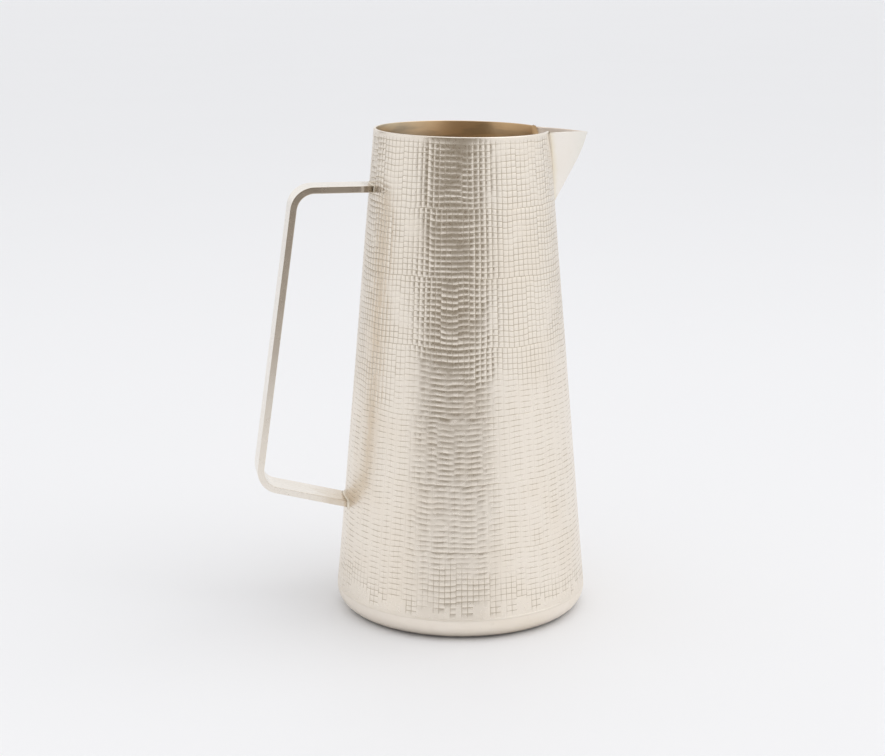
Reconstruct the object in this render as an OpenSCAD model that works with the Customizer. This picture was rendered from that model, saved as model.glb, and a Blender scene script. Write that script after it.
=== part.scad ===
// Conical silver water pitcher with a chased wall, a folded V spout and a bent strap handle.
// Z is up and the origin is the middle of the flat underside. The spout points along +X and
// the handle along -X. The pitcher stands on the plane z = 0.

/* [Body] */
// Height of the middle of the rim above the table
rim_h = 240; // [200:1:280]
// How much lower the rim is at the spout than at the handle
rim_fall = 1.2; // [0:0.1:3]
// Outer radius of the mouth
mouth_r = 42.6; // [34:0.1:52]
// Outer radius at the widest point, just above the table
base_r = 62.8; // [52:0.1:76]
// Radius of the rounded edge between the wall and the flat underside
base_round = 10; // [5:0.5:16]
// Thickness of the wall sheet
sheet_t = 1.2; // [0.8:0.1:2]
// Height of the soldered joint between the wall and the base pan
joint_z = 11; // [10:0.5:20]

/* [Seams] */
// Width of the solder line that closes the rolled wall and of the one round the base
seam_w = 0.5; // [0.3:0.1:1]
// How far the base joint's solder stands into the inside
seam_bead = 0.6; // [0.3:0.1:1.2]

/* [Spout] */
// Reach of the spout's tip from the axis
tip_x = 63; // [54:0.5:80]
// Height of the spout's tip
tip_z = 236.9; // [190:0.1:280]
// Reach of the point where the keel turns steeper
beak_x = 60.2; // [50:0.1:78]
// Height of the point where the keel turns steeper
beak_z = 228.2; // [180:0.1:270]
// Height at which the keel meets the wall
keel_z = 201.6; // [150:0.1:250]
// Half the width of the spout where its top edges meet the wall
spout_hw = 17; // [10:0.5:24]
// Height of the spout's top edges at the wall
spout_z = 238.4; // [190:0.1:280]
// Thickness of the spout sheet
spout_t = 1; // [0.6:0.1:1.6]
// How far the wall's cut edge stands inside the spout
lip = 0.8; // [0:0.1:2]
// Size of the solder run round the spout
spout_bead = 0.8; // [0.4:0.1:1.5]

/* [Handle] */
// Width of the strap
strap_w = 18; // [12:0.5:26]
// Thickness of the strap
strap_t = 3.2; // [2:0.1:5]
// Reach of the upper corner of the strap's centre line
top_x = 81.7; // [65:0.1:110]
// Height of the upper arm's centre line
top_z = 212.7; // [160:0.1:250]
// Reach of the lower corner of the strap's centre line
low_x = 102.6; // [70:0.1:130]
// Height of the lower corner of the strap's centre line
low_z = 67.4; // [40:0.1:120]
// Fall of the lower arm towards the wall, in degrees
low_fall = 14.4; // [0:0.1:30]
// Bend radius of the upper corner, on the centre line
top_bend = 10.5; // [6:0.5:20]
// Bend radius of the lower corner, on the centre line
low_bend = 10; // [6:0.5:20]
// Solder gap between the strap's ends and the wall
braze_gap = 0.3; // [0.1:0.1:0.8]
// Foot of each solder fillet beyond the strap, on the wall
fillet = 1.6; // [0.8:0.1:3]

/* [Hidden] */
$fn = 96;
silver = [0.84, 0.82, 0.78];
solder = [0.78, 0.74, 0.66];
over = 12;                                    // how far cutting shapes run past what they cut

// The wall is the tangent from the rim to the circle that rounds the base.
round_x = base_r - base_round;
run = [mouth_r - round_x, rim_h - base_round];
lean = atan2(run[1], run[0]) - acos(base_round / norm(run));
function wall_r(z, o = 0) = mouth_r + (rim_h - z) * tan(lean) - o / cos(lean);

// Half section of the outer form taken in by o, or grown when o is negative, up to height z.
module form_2d(o, z) {
    intersection() {
        translate([0, o]) square([base_r + over, z - o]);
        union() {
            polygon([[0, o], [round_x, o],
                     [round_x + (base_round - o) * cos(lean), base_round + (base_round - o) * sin(lean)],
                     [wall_r(z + over, o), z + over], [0, z + over]]);
            translate([round_x, base_round]) circle(base_round - o);
        }
    }
}
// The whole form, turned so that its seam lies clear of the handle and the spout.
module form(o = 0) { rotate(90) rotate_extrude($fn = 180) form_2d(o, rim_h + over); }

// The wall's half section between two heights.
module wall_2d(z0, z1, o = 0, t = sheet_t) {
    polygon([[wall_r(z0, o + t), z0], [wall_r(z0, o), z0], [wall_r(z1, o), z1], [wall_r(z1, o + t), z1]]);
}

// Everything above the slightly falling rim.
module above_rim() {
    translate([0, 0, rim_h]) rotate([0, atan(rim_fall / (2 * mouth_r)), 0])
        translate([-2 * base_r, -2 * base_r, 0]) cube([4 * base_r, 4 * base_r, 4 * over]);
}

// Spout: a V trough between two pairs of planes. unit() and the plane helpers use [normal, distance].
wall_x = sqrt(pow(wall_r(spout_z), 2) - pow(spout_hw, 2));
tip = [tip_x, 0, tip_z];
beak = [beak_x, 0, beak_z];
heel = [wall_r(keel_z), 0, keel_z];
edge = [wall_x, -spout_hw, spout_z];
function unit(v) = v / norm(v);
function plane(a, b, c, o) = let (n = unit(cross(b - a, c - a))) [n, n * a - o];
function flip(p) = [[p[0][0], -p[0][1], p[0][2]], p[1]];
function meet(p, q, s) =
    (p[1] * cross(q[0], s[0]) + q[1] * cross(s[0], p[0]) + s[1] * cross(p[0], q[0]))
    / (p[0] * cross(q[0], s[0]));

// The trough taken in by o. It runs past its top edge and back into the body.
module trough(o) {
    up = plane(tip, edge, beak, o);
    dn = plane(beak, edge, heel, o);
    top = [[0, 0, 1], rim_h + over];
    back = [[1, 0, 0], wall_x - over];
    pts = [meet(up, flip(up), top), meet(up, flip(up), dn), meet(dn, flip(dn), back),
           meet(up, top, back), meet(up, dn, back),
           meet(flip(up), top, back), meet(flip(up), flip(dn), back)];
    polyhedron(pts, [[0, 3, 5], [0, 1, 4, 3], [1, 2, 4], [0, 5, 6, 1], [1, 6, 2], [3, 4, 2, 6, 5]]);
}

// Everything above the spout's top edges, raised by h.
module above_spout(h = 0) {
    translate([tip_x, 0, tip_z + h]) rotate([0, -atan2(tip_z - spout_z, tip_x - wall_x), 0])
        translate([-base_r, -base_r, 0]) cube([2 * base_r, 2 * base_r, 4 * over]);
}

module body_wall() {
    color(silver) difference() {
        rotate_extrude($fn = 180) wall_2d(joint_z + seam_w, rim_h + over / 2);
        above_rim();
        trough(spout_t + lip);
        translate([-2 * base_r, -seam_w / 2, 0]) cube([2 * base_r, seam_w, rim_h + over]);
    }
}

module wall_seam_solder() {
    color(solder) difference() {
        intersection() {
            rotate_extrude($fn = 180) wall_2d(joint_z + seam_w, rim_h + over / 2);
            translate([-2 * base_r, -seam_w / 2, 0]) cube([2 * base_r, seam_w, rim_h + over]);
        }
        above_rim();
    }
}

module base_pan() {
    color(silver) rotate_extrude($fn = 180) difference() {
        form_2d(0, joint_z);
        form_2d(sheet_t, joint_z + over);
    }
}

module base_solder() {
    color(solder) rotate_extrude($fn = 180) union() {
        wall_2d(joint_z, joint_z + seam_w);
        polygon([[wall_r(joint_z - seam_w / 2, sheet_t), joint_z - seam_w / 2],
                 [wall_r(joint_z + 2 * seam_w, sheet_t), joint_z + 2 * seam_w],
                 [wall_r(joint_z + seam_w, sheet_t + seam_bead), joint_z + seam_w],
                 [wall_r(joint_z, sheet_t + seam_bead), joint_z]]);
    }
}

module spout() {
    color(silver) difference() {
        trough(0);
        trough(spout_t);
        above_spout();
        form();
    }
}

module spout_solder() {
    color(solder) difference() {
        intersection() {
            trough(-spout_bead);
            form(-spout_bead);
        }
        trough(0);
        form();
        above_spout(spout_bead / 2);
    }
}

// Handle: the strap's centre line turns at top_c and low_c. Angles are directions in the XZ plane.
top_c = [-top_x, top_z];
low_c = [-low_x, low_z];
bar_a = atan2(low_z - top_z, top_x - low_x);
arm_a = -low_fall;
function along(a) = [cos(a), sin(a)];
top_tan = top_bend * tan((bar_a + 180) / 2);
low_tan = low_bend * tan((arm_a - bar_a) / 2);

// One side of the strap: its centre line, moved out by o, from the upper arm round to the lower.
bend_steps = 12;
function arc(c, r, a0, a1) = [for (k = [0:bend_steps]) c + r * along(a0 + (a1 - a0) * k / bend_steps)];
function side(o, end = -20) =
    let (top_m = top_c + [top_tan, -top_bend],
         low_m = low_c + low_tan * along(arm_a) + low_bend * along(arm_a + 90))
    concat([[end, top_z + o]],
           arc(top_m, top_bend + o, 90, bar_a + 270),
           arc(low_m, low_bend + o, bar_a + 270, arm_a + 270),
           [low_c + (low_x + end) / cos(arm_a) * along(arm_a) + o * along(arm_a - 90)]);
function back_to_front(p) = [for (k = [len(p) - 1:-1:0]) p[k]];
module strap_2d() { polygon(concat(side(strap_t / 2), back_to_front(side(-strap_t / 2)))); }

module handle() {
    color(silver) difference() {
        rotate([90, 0, 0]) linear_extrude(strap_w, center = true) strap_2d();
        form(-braze_gap);
    }
}

// Height at which the lower arm's centre line meets the wall.
foot_z = (low_z + tan(low_fall) * (mouth_r - low_x + rim_h * tan(lean)))
         / (1 + tan(low_fall) * tan(lean));

// A solder fillet round the end of an arm that meets the wall at height z and runs at angle a.
module fillet_pad(z, a) {
    color(solder) difference() {
        translate([-wall_r(z), 0, z]) rotate([0, -a, 0]) hull() {
            translate([fillet, 0, 0]) block(over, strap_w + 2 * fillet, strap_t + 2 * fillet);
            translate([-fillet, 0, 0]) block(over, strap_w + fillet / 4, strap_t + fillet / 4);
        }
        form();
        handle();
    }
}
module block(x, y, z) { translate([0, -y / 2, -z / 2]) cube([x, y, z]); }
module handle_upper_solder() { fillet_pad(top_z, 0); }
module handle_lower_solder() { fillet_pad(foot_z, arm_a); }

body_wall();
wall_seam_solder();
base_pan();
base_solder();
spout();
spout_solder();
handle();
handle_upper_solder();
handle_lower_solder();
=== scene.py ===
"""Silver water pitcher: a chased conical wall, a plain base pan, a folded spout and a strap handle.

Run as a script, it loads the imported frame, registers the operators below and calls them in order.
Lengths are metres. The spout points along +X, the handle along -X, and the table is z = 0.
"""

import math

import bmesh
import bpy
from mathutils import Matrix, Vector


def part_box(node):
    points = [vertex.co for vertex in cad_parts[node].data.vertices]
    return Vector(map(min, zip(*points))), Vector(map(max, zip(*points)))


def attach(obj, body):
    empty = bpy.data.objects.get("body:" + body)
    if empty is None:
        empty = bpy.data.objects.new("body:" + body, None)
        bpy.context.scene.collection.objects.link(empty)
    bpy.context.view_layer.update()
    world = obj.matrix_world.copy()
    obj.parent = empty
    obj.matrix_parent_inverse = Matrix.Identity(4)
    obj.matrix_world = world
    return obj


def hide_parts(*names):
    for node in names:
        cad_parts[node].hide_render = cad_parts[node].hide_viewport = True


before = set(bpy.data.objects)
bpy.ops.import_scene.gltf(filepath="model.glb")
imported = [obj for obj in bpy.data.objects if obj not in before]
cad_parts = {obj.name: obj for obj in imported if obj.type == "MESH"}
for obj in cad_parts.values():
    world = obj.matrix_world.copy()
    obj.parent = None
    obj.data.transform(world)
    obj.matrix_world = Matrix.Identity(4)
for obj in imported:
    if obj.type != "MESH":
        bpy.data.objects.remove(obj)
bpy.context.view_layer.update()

bl_info = {
    "name": "Silver Water Pitcher",
    "version": (1, 0, 0),
    "blender": (4, 5, 0),
    "location": "View3D > Sidebar > Pitcher",
    "description": "Builds a chased silver water pitcher round its packed solids",
    "category": "Object",
}

MM = 0.001
BODY = "root"


# ---------------------------------------------------------------- measures taken from the frame


def measured_wall():
    """Height and outer radius at the wall's rim and at its foot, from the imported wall's corners."""
    corners = [v.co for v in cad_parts["body_wall"].data.vertices]
    high = max(corners, key=lambda c: (round(c.z, 5), c.xy.length))
    low_z = min(c.z for c in corners)
    low_r = max(c.xy.length for c in corners if c.z < low_z + 0.01 * MM)
    return high.z, high.xy.length, low_z, low_r


RIM_HIGH, RIM_HIGH_R, FOOT_Z, FOOT_R = measured_wall()
TAPER = (FOOT_R - RIM_HIGH_R) / (RIM_HIGH - FOOT_Z)
BASE_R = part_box("base_pan")[1].x
JOINT_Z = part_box("base_pan")[1].z
SPOUT_LOW, SPOUT_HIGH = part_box("spout")
SPOUT_EDGE_Z = RIM_HIGH - 1.6 * MM  # where the spout's top edges meet the wall
HALF_SEAM = 0.25 * MM  # half the width of the wall's upright seam
STRAP_LOW, STRAP_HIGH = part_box("handle")


def wall_radius(z):
    """Outer radius of the wall at height z."""
    return RIM_HIGH_R + (RIM_HIGH - z) * TAPER


# ---------------------------------------------------------------- what a user would change


class PitcherForm(bpy.types.PropertyGroup):
    """Sizes of the sheet, the spout and the strap."""

    rim_fall: bpy.props.FloatProperty(
        name="Rim Fall", description="How much lower the rim is at the spout than at the handle",
        default=1.2 * MM, min=0.0, unit="LENGTH")
    sheet: bpy.props.FloatProperty(
        name="Sheet", description="Thickness of the wall and of the base pan",
        default=1.2 * MM, min=0.5 * MM, unit="LENGTH")
    base_round: bpy.props.FloatProperty(
        name="Base Rounding", description="Radius of the edge between the wall and the underside",
        default=10 * MM, min=2 * MM, unit="LENGTH")
    spout_sheet: bpy.props.FloatProperty(
        name="Spout Sheet", description="Thickness of the spout",
        default=1.0 * MM, min=0.4 * MM, unit="LENGTH")
    spout_half: bpy.props.FloatProperty(
        name="Spout Half Width", description="Half the spout's width where it meets the wall",
        default=SPOUT_HIGH.y, min=5 * MM, unit="LENGTH")
    beak: bpy.props.FloatVectorProperty(
        name="Beak", description="Point of the keel where it turns steeper",
        default=(60.2 * MM, 0.0, 228.2 * MM), unit="LENGTH")
    tip: bpy.props.FloatVectorProperty(
        name="Tip", description="Foremost point of the spout",
        default=(SPOUT_HIGH.x, 0.0, 236.9 * MM), unit="LENGTH")
    lip: bpy.props.FloatProperty(
        name="Cut Edge", description="How far the wall's cut edge stands inside the spout",
        default=0.8 * MM, min=0.0, unit="LENGTH")
    strap: bpy.props.FloatProperty(
        name="Strap Thickness", description="Thickness of the handle's strap",
        default=3.2 * MM, min=1 * MM, unit="LENGTH")
    strap_edge: bpy.props.FloatProperty(
        name="Strap Edge", description="Rounding of the strap's four long edges",
        default=0.26 * MM, min=0.1 * MM, unit="LENGTH")
    top_reach: bpy.props.FloatProperty(
        name="Upper Corner", description="Reach of the strap's upper corner from the axis",
        default=81.7 * MM, min=50 * MM, unit="LENGTH")
    low_reach: bpy.props.FloatProperty(
        name="Lower Corner", description="Reach of the strap's lower corner from the axis",
        default=102.6 * MM, min=50 * MM, unit="LENGTH")
    low_height: bpy.props.FloatProperty(
        name="Lower Corner Height", description="Height of the strap's lower corner",
        default=67.4 * MM, min=10 * MM, unit="LENGTH")
    low_fall: bpy.props.FloatProperty(
        name="Lower Arm Fall", description="Slope of the lower arm down towards the wall",
        default=math.radians(14.4), subtype="ANGLE")
    top_bend: bpy.props.FloatProperty(
        name="Upper Bend", description="Radius of the upper bend", default=10.5 * MM, unit="LENGTH")
    low_bend: bpy.props.FloatProperty(
        name="Lower Bend", description="Radius of the lower bend", default=10 * MM, unit="LENGTH")
    fillet: bpy.props.FloatProperty(
        name="Solder Fillet", description="Reach of the solder round the strap's ends",
        default=1.1 * MM, unit="LENGTH")


class PitcherChasing(bpy.types.PropertyGroup):
    """The grid of small squares that is struck into the wall, one tool blow at a time."""

    pitch: bpy.props.FloatProperty(
        name="Pitch", description="Distance from one square to the next round the wall",
        default=2.72 * MM, min=1 * MM, unit="LENGTH")
    bands: bpy.props.IntProperty(
        name="Bands", description="Bands of tool blows from the rim down to the foot",
        default=7, min=2)
    rows: bpy.props.IntProperty(
        name="Rows", description="Rows of squares in one band", default=12, min=2)
    blow: bpy.props.FloatProperty(
        name="Blow Width", description="Squares side by side in one blow", default=2.6, min=1)
    groove: bpy.props.FloatProperty(
        name="Groove Width", description="Width of the grooves between the squares",
        default=0.52 * MM, min=0.1 * MM, unit="LENGTH")
    depth: bpy.props.FloatProperty(
        name="Groove Depth", description="Depth of the grooves",
        default=0.14 * MM, min=0.02 * MM, unit="LENGTH")
    stagger: bpy.props.FloatProperty(
        name="Stagger", description="How far neighbouring blows sit out of line, in squares",
        default=0.30, min=0.0, max=0.5)
    wander: bpy.props.FloatProperty(
        name="Wander", description="How far the rows wander up and down",
        default=2.0 * MM, min=0.0, unit="LENGTH")
    dashes_top: bpy.props.FloatProperty(
        name="Dashes Top", description="Below this height the squares turn into level dashes",
        default=128 * MM, unit="LENGTH")
    dashes_bottom: bpy.props.FloatProperty(
        name="Dashes Bottom", description="Below this height the dashes are squares again",
        default=31 * MM, unit="LENGTH")
    plain: bpy.props.FloatProperty(
        name="Plain Edge", description="Smooth strip under the rim", default=0.7 * MM,
        unit="LENGTH")
    margin: bpy.props.FloatProperty(
        name="Plain Margin", description="Smooth strip beside the spout", default=3.1 * MM,
        unit="LENGTH")
    seed: bpy.props.IntProperty(name="Seed", description="Changes where the blows fall", default=7)


class PitcherFinish(bpy.types.PropertyGroup):
    """Colours of the metal."""

    silver: bpy.props.FloatVectorProperty(
        name="Silver", description="Colour of the satin silver", subtype="COLOR", size=4,
        min=0, max=1, default=(0.885, 0.815, 0.72, 1))
    groove: bpy.props.FloatVectorProperty(
        name="Groove Tone", description="Colour of the tarnish in the grooves", subtype="COLOR",
        size=4, min=0, max=1, default=(0.57, 0.50, 0.40, 1))
    # The inside's colour is its golden tone, darkened as painted shade within the vessel.
    inside: bpy.props.FloatVectorProperty(
        name="Inside", description="Colour of the inside", subtype="COLOR", size=4,
        min=0, max=1, default=(0.64, 0.42, 0.215, 1))
    solder: bpy.props.FloatVectorProperty(
        name="Solder", description="Colour of the soldered joints", subtype="COLOR", size=4,
        min=0, max=1, default=(0.85, 0.78, 0.66, 1))
    heat: bpy.props.FloatVectorProperty(
        name="Heat Stain", description="Colour of the stain beside a soldered joint",
        subtype="COLOR", size=4, min=0, max=1, default=(0.58, 0.44, 0.28, 1))


class PitcherStage(bpy.types.PropertyGroup):
    """Floor, light and camera."""

    floor: bpy.props.FloatVectorProperty(
        name="Floor", description="Colour of the floor", subtype="COLOR", size=4,
        min=0, max=1, default=(0.86, 0.86, 0.87, 1))
    distance: bpy.props.FloatProperty(
        name="Camera Distance", description="Level distance from the pitcher's axis",
        default=0.893, unit="LENGTH")
    height: bpy.props.FloatProperty(
        name="Camera Height", description="Height above the table", default=0.3285, unit="LENGTH")
    turn: bpy.props.FloatProperty(
        name="Camera Turn", description="Turn of the camera round the pitcher, towards the handle",
        default=math.radians(10.8), subtype="ANGLE")
    pan: bpy.props.FloatProperty(
        name="Camera Pan", description="How far the camera looks past the axis",
        default=math.radians(0.59), subtype="ANGLE")
    tilt: bpy.props.FloatProperty(
        name="Camera Tilt", description="How far the camera looks down",
        default=math.radians(13.39), subtype="ANGLE")
    lens: bpy.props.FloatProperty(
        name="Lens", description="Focal length in millimetres on a 36 mm sensor", default=74.8)


def form():
    return bpy.context.scene.pitcher_form


def chasing():
    return bpy.context.scene.pitcher_chasing


def finish():
    return bpy.context.scene.pitcher_finish


def stage():
    return bpy.context.scene.pitcher_stage


# ---------------------------------------------------------------- small tools


class Nodes:
    """Adds nodes to one tree. Values go to the sockets in order, or by socket name."""

    def __init__(self, tree):
        self.tree = tree

    def add(self, kind, *values, sets=None, **named):
        node = self.tree.nodes.new(kind)
        for key, value in (sets or {}).items():
            setattr(node, key, value)
        for socket, value in zip(node.inputs, values):
            self.feed(socket, value)
        for name, value in named.items():
            self.feed(node.inputs[name.replace("_", " ")], value)
        return node

    def feed(self, socket, value):
        if isinstance(value, bpy.types.Node):
            value = value.outputs[0]
        if isinstance(value, bpy.types.NodeSocket):
            self.tree.links.new(value, socket)
        elif value is not None:
            socket.default_value = value

    def math(self, operation, *values):
        return self.add("ShaderNodeMath", *values, sets={"operation": operation}).outputs[0]

    def plus(self, a, b):
        return self.math("ADD", a, b)

    def minus(self, a, b):
        return self.math("SUBTRACT", a, b)

    def times(self, a, b):
        return self.math("MULTIPLY", a, b)

    def over(self, a, b):
        return self.math("DIVIDE", a, b)

    def scaled(self, a, factor, offset):
        """a times factor, plus offset."""
        return self.math("MULTIPLY_ADD", a, factor, offset)

    def above(self, a, b):
        """1 where a is above b, or else 0."""
        return self.math("GREATER_THAN", a, b)

    def below(self, a, b):
        """1 where a is below b, or else 0."""
        return self.math("LESS_THAN", a, b)

    def floor(self, a):
        return self.math("FLOOR", a)

    def most(self, a, b):
        return self.math("MAXIMUM", a, b)

    def length(self, x, y):
        return self.math("SQRT", self.plus(self.times(x, x), self.times(y, y)))

    def parts(self, vector):
        """The x, y and z of a vector."""
        return self.add("ShaderNodeSeparateXYZ", vector).outputs

    def vector(self, x, y, z):
        return self.add("ShaderNodeCombineXYZ", x, y, z).outputs[0]

    def tinted(self, colour, tint):
        """A colour multiplied by another."""
        return self.add("ShaderNodeVectorMath", colour, tint,
                        sets={"operation": "MULTIPLY"}).outputs[0]

    def step(self, value, start, end, low=0.0, high=1.0):
        """Eases from low to high as value goes from start to end."""
        return self.add("ShaderNodeMapRange", value, start, end, low, high,
                        sets={"interpolation_type": "SMOOTHSTEP"}).outputs[0]

    def noise(self, scale, detail=2.0, vector=None, rough=0.5):
        return self.add("ShaderNodeTexNoise", Vector=vector, Scale=scale, Detail=detail,
                        Roughness=rough).outputs["Fac"]

    def blend(self, factor, a, b):
        """Colour between a and b."""
        node = self.tree.nodes.new("ShaderNodeMix")
        node.data_type = "RGBA"
        for index, value in ((0, factor), (6, a), (7, b)):
            self.feed(node.inputs[index], value)
        return node.outputs[2]

    def bump(self, height, strength, distance, normal=None):
        return self.add("ShaderNodeBump", Strength=strength, Distance=distance, Height=height,
                        Normal=normal).outputs[0]


def put(name, mesh, slot, replaced, *materials):
    """Makes the mesh a finished piece on the pitcher's body."""
    piece = bpy.data.objects.new(name, mesh)
    bpy.context.scene.collection.objects.link(piece)
    for material in materials:
        if material.name not in mesh.materials:
            mesh.materials.append(material)
    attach(piece, BODY)
    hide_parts(replaced)


def baked(name, mesh, add_modifiers):
    """The mesh after the modifiers that add_modifiers gives it, as a plain mesh."""
    source = bpy.data.objects.new(name, mesh)
    bpy.context.scene.collection.objects.link(source)
    add_modifiers(source)
    graph = bpy.context.evaluated_depsgraph_get()
    result = bpy.data.meshes.new_from_object(source.evaluated_get(graph), depsgraph=graph)
    bpy.data.objects.remove(source)
    result.name = name
    return result


def mesh_of(name, build, smooth=True):
    """A mesh that build(bm) fills, with its doubles merged and its faces turned outwards."""
    bm = bmesh.new()
    build(bm)
    bmesh.ops.remove_doubles(bm, verts=bm.verts, dist=0.002 * MM)
    bmesh.ops.recalc_face_normals(bm, faces=bm.faces)
    for face in bm.faces:
        face.smooth = smooth
    mesh = bpy.data.meshes.new(name)
    bm.to_mesh(mesh)
    bm.free()
    return mesh


def zip_rows(bm, a, b, along):
    """Triangles between two rows of points that hold different counts, in the order of along."""
    i = j = 0
    while i < len(a) - 1 or j < len(b) - 1:
        step_a = i < len(a) - 1 and (
            j == len(b) - 1 or along(a[i + 1]) <= along(b[j + 1]))
        if step_a:
            bm.faces.new((a[i], a[i + 1], b[j]))
            i += 1
        else:
            bm.faces.new((a[i], b[j + 1], b[j]))
            j += 1


def sweep(bm, rings, closed=True):
    """Joins rings of points, each a closed loop of one count, and caps the ends if not closed."""
    rows = [[bm.verts.new(p) for p in ring] for ring in rings]
    count = len(rows[0])
    for k in range(len(rows) if closed else len(rows) - 1):
        a, b = rows[k], rows[(k + 1) % len(rows)]
        for m in range(count):
            bm.faces.new((a[m], a[(m + 1) % count], b[(m + 1) % count], b[m]))
    if not closed:
        bm.faces.new(rows[0])
        bm.faces.new(reversed(rows[-1]))


# ---------------------------------------------------------------- the chased wall


def chased_band_tree(material):
    """Geometry nodes for one band of the wall, with its grooves struck in.

    The band is a grid with three lines for each square: the groove and its two shoulders. Each
    blow of the tool covers a few squares, and sits a little above or below the one beside it.
    """
    tree = bpy.data.node_groups.new("chased band", "GeometryNodeTree")
    sockets = {"Int": ("Columns", "Rows", "Band", "Seed"),
               "Float": ("Top", "Bottom", "Pitch", "Shift", "Blow Width", "Groove Width",
                         "Groove Depth", "Stagger", "Wander", "Dashes Top", "Dashes Bottom",
                         "Plain Edge", "Plain Margin")}
    for kind, names in sockets.items():
        for name in names:
            tree.interface.new_socket(name=name, in_out="INPUT", socket_type="NodeSocket" + kind)
    tree.interface.new_socket(name="Wall", in_out="OUTPUT", socket_type="NodeSocketGeometry")
    n = Nodes(tree)
    given = tree.nodes.new("NodeGroupInput").outputs
    columns, rows, pitch, band = (given[k] for k in ("Columns", "Rows", "Pitch", "Band"))

    def draw(identity, offset, low=0.0, high=1.0):
        """A fixed random number for each identity."""
        node = n.add("FunctionNodeRandomValue", sets={"data_type": "FLOAT"})
        n.feed(node.inputs[2], low)
        n.feed(node.inputs[3], high)
        n.feed(node.inputs["ID"], identity)
        n.feed(node.inputs["Seed"], n.plus(given["Seed"], offset))
        return node.outputs[1]

    # Which line of the grid a point lies on, and where that line sits in its square.
    lines_across, lines_down = n.times(columns, 3.0), n.times(rows, 3.0)
    grid = n.add("GeometryNodeMeshGrid", 1.0, 1.0, n.plus(lines_across, 1.0),
                 n.plus(lines_down, 1.0))
    place = n.parts(n.add("GeometryNodeInputPosition"))
    across = n.floor(n.scaled(n.plus(place[0], 0.5), lines_across, 0.5))
    down = n.floor(n.scaled(n.minus(0.5, place[1]), lines_down, 0.5))
    half_groove = n.over(n.times(given["Groove Width"], 0.5), pitch)

    def split(line):
        """The square a line belongs to, its place in the square, and 1 on a groove."""
        cell = n.floor(n.over(n.plus(line, 0.5), 3.0))
        step = n.minus(line, n.times(cell, 3.0))
        first = n.times(n.above(step, 0.5), half_groove)
        second = n.times(n.above(step, 1.5), n.scaled(half_groove, -2.0, 1.0))
        return cell, n.plus(first, second), n.below(step, 0.5)

    column, inside_u, on_upright = split(across)
    row, inside_v, on_level = split(down)

    # Blows: groups of columns, each moved up or down as one. A groove point takes both sides.
    band_jump = draw(band, 11.0)

    def blows_along(shift):
        return n.plus(band_jump, n.over(n.plus(column, shift), given["Blow Width"]))

    before, blow, after = (n.scaled(band, 211.0, n.floor(blows_along(shift)))
                           for shift in (-0.5, 0.5, 1.5))
    here, there = (draw(identity, 1.0, -1.0, 1.0) for identity in (blow, before))
    drop = n.scaled(n.times(on_upright, 0.5), n.minus(there, here), here)
    v = n.over(n.plus(row, inside_v), rows)
    middle = n.times(n.step(v, 0.0, 0.25), n.step(v, 1.0, 0.75))
    height = n.scaled(v, n.minus(given["Bottom"], given["Top"]), given["Top"])
    height = n.plus(height, n.times(n.times(drop, middle), n.times(given["Stagger"], pitch)))
    # The first line lies in the same groove as the last line of the band above, just below it.
    height = n.scaled(n.below(down, 0.5), -0.08 * MM, height)

    # Angle round the wall, from just past the seam at -X.
    u = n.over(n.plus(column, inside_u), columns)
    settle = n.times(n.step(u, 0.0, 0.02), n.step(u, 1.0, 0.98))
    u = n.plus(u, n.times(settle, n.over(given["Shift"], columns)))

    def radius_at(z):
        return n.scaled(n.minus(RIM_HIGH, z), TAPER, RIM_HIGH_R)

    slot = n.over(HALF_SEAM, radius_at(height))
    angle = n.plus(n.plus(math.pi, slot), n.times(u, n.scaled(slot, -2.0, 2 * math.pi)))
    cosine, sine = n.math("COSINE", angle), n.math("SINE", angle)

    # Slow wander of the lines, none at the rim and the foot.
    drift = n.vector(n.times(cosine, 2.6), n.times(sine, 2.6), n.times(height, 22.0))
    wave = n.minus(n.noise(1.0, 3.0, drift), 0.5)
    calm = n.times(n.step(height, FOOT_Z, FOOT_Z + 12 * MM),
                   n.step(height, RIM_HIGH, RIM_HIGH - 12 * MM))
    height = n.scaled(n.times(wave, 2.0), n.times(given["Wander"], calm), height)
    radius = radius_at(height)
    fall = n.times(n.scaled(cosine, 0.5, 0.5), n.times(
        form().rim_fall, n.over(n.minus(height, FOOT_Z), RIM_HIGH - FOOT_Z)))

    # Where the wall stays plain: beside the spout, the seam and the rim, and raggedly at the foot.
    side = n.times(n.math("ABSOLUTE", sine), radius)
    spread = form().spout_half / (SPOUT_EDGE_Z - SPOUT_LOW.z)
    off_spout = n.times(math.cos(math.atan(spread)),
                        n.minus(side, n.times(n.minus(height, SPOUT_LOW.z), spread)))
    margin, edge = given["Plain Margin"], given["Plain Edge"]
    clear_spout = n.most(n.step(off_spout, margin, n.plus(margin, 1.2 * MM)),
                         n.below(cosine, 0.0))
    clear_seam = n.most(n.step(side, 1.0 * MM, 2.2 * MM), n.above(cosine, 0.0))
    clear_rim = n.step(n.minus(RIM_HIGH, height), edge, n.plus(edge, 0.8 * MM))
    patch = n.scaled(n.floor(n.over(row, 3.0)), 4001.0, blow)
    thin_out = n.step(height, 24 * MM, 12 * MM, -0.1, 0.6)
    gap = n.times(n.below(n.math("FRACT", blows_along(0.5)), 0.3), n.below(height, 18.5 * MM))
    near_foot = n.times(n.above(draw(patch, 3.0), thin_out),
                        n.times(n.step(height, 11.8 * MM, 13 * MM), n.minus(1.0, gap)))

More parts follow.
